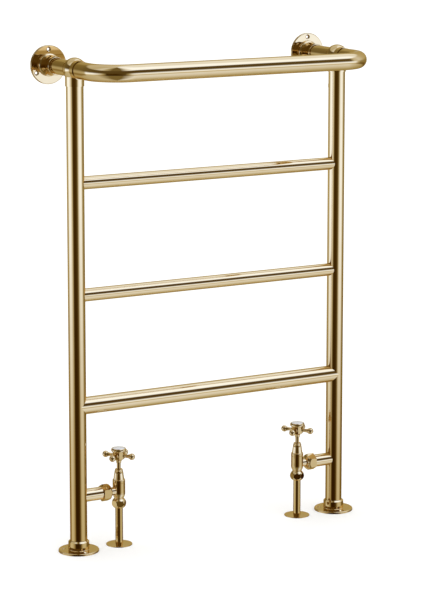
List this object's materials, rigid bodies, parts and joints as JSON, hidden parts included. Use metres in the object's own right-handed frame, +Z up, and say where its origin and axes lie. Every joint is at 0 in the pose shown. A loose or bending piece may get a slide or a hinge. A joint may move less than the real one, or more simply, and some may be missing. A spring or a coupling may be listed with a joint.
{
  "type": "towel warmer rack",
  "caption": "Floor-standing, wall-stayed heated towel rail: ball-jointed brass tubes with cross rails, a bent front towel bar and a pair of crosshead angle valves.",
  "frame": {"origin": "on the floor, in the middle of the overall box", "axes": "+Z up, -Y the front where the towel bar is, +Y towards the wall, +X to the right of a person facing the front"},
  "size_m": [0.669, 0.2518, 0.9803],
  "materials": {
    "polished_brass": "mirror polished, pale gold",
    "porcelain": "glazed white",
    "rubber": "matte black",
    "steel": "machined"
  },
  "bodies": {
    "rack": {"top_bar": "polished_brass", "upper_rail": "polished_brass", "middle_rail": "polished_brass", "lower_rail": "polished_brass", "air_vent_plug": "polished_brass", "air_vent_screw": "polished_brass", "left_upright": "polished_brass", "left_base_plug": "polished_brass", "left_ball_joint": "polished_brass", "left_wall_stay": "polished_brass", "left_wall_flange": "polished_brass", "left_wall_grub_screw": "polished_brass", "left_floor_flange": "polished_brass", "left_floor_grub_screw": "polished_brass", "left_valve_stub": "polished_brass", "left_union_tail": "polished_brass", "left_union_nut": "polished_brass", "left_supply_pipe": "polished_brass", "left_compression_nut": "polished_brass", "left_olive": "polished_brass", "left_valve_body": "polished_brass", "left_bonnet": "polished_brass", "left_gland_nut": "polished_brass", "left_gland_packing": "rubber", "right_upright": "polished_brass", "right_base_plug": "polished_brass", "right_ball_joint": "polished_brass", "right_wall_stay": "polished_brass", "right_wall_flange": "polished_brass", "right_wall_grub_screw": "polished_brass", "right_floor_flange": "polished_brass", "right_floor_grub_screw": "polished_brass", "right_valve_stub": "polished_brass", "right_union_tail": "polished_brass", "right_union_nut": "polished_brass", "right_supply_pipe": "polished_brass", "right_compression_nut": "polished_brass", "right_olive": "polished_brass", "right_valve_body": "polished_brass", "right_bonnet": "polished_brass", "right_gland_nut": "polished_brass", "right_gland_packing": "rubber"},
    "left_handle": {"left_spindle": "polished_brass", "left_crosshead": "polished_brass", "left_handle_cap": "polished_brass", "left_porcelain_index": "porcelain", "left_handle_screw": "steel"},
    "left_plug": {"left_valve_plug": "polished_brass", "left_plug_washer": "rubber"},
    "left_rosette": {"left_pipe_rosette": "polished_brass"},
    "right_handle": {"right_spindle": "polished_brass", "right_crosshead": "polished_brass", "right_handle_cap": "polished_brass", "right_porcelain_index": "porcelain", "right_handle_screw": "steel"},
    "right_plug": {"right_valve_plug": "polished_brass", "right_plug_washer": "rubber"},
    "right_rosette": {"right_pipe_rosette": "polished_brass"}
  },
  "joints": [
    {"name": "left_valve_turn", "type": "hinge", "parent": "rack", "child": "left_handle", "pos_m": [-0.206, 0.01093, 0.179], "axis": [0, 0, 1], "range_deg": [0, 900]},
    {"name": "left_plug_lift", "type": "slide", "parent": "rack", "child": "left_plug", "axis": [0, 0, 1], "range_m": [0, 0.00252]},
    {"name": "left_rosette_slide", "type": "slide", "parent": "rack", "child": "left_rosette", "axis": [0, 0, 1], "range_m": [0, 0.07]},
    {"name": "right_valve_turn", "type": "hinge", "parent": "rack", "child": "right_handle", "pos_m": [0.206, 0.01093, 0.179], "axis": [0, 0, 1], "range_deg": [0, 900]},
    {"name": "right_plug_lift", "type": "slide", "parent": "rack", "child": "right_plug", "axis": [0, 0, 1], "range_m": [0, 0.00252]},
    {"name": "right_rosette_slide", "type": "slide", "parent": "rack", "child": "right_rosette", "axis": [0, 0, 1], "range_m": [0, 0.07]}
  ],
  "couplings": [
    {"joint": "left_plug_lift", "follows": "left_valve_turn", "m_per_rad": 0.00015915},
    {"joint": "right_plug_lift", "follows": "right_valve_turn", "m_per_rad": 0.00015915}
  ]
}
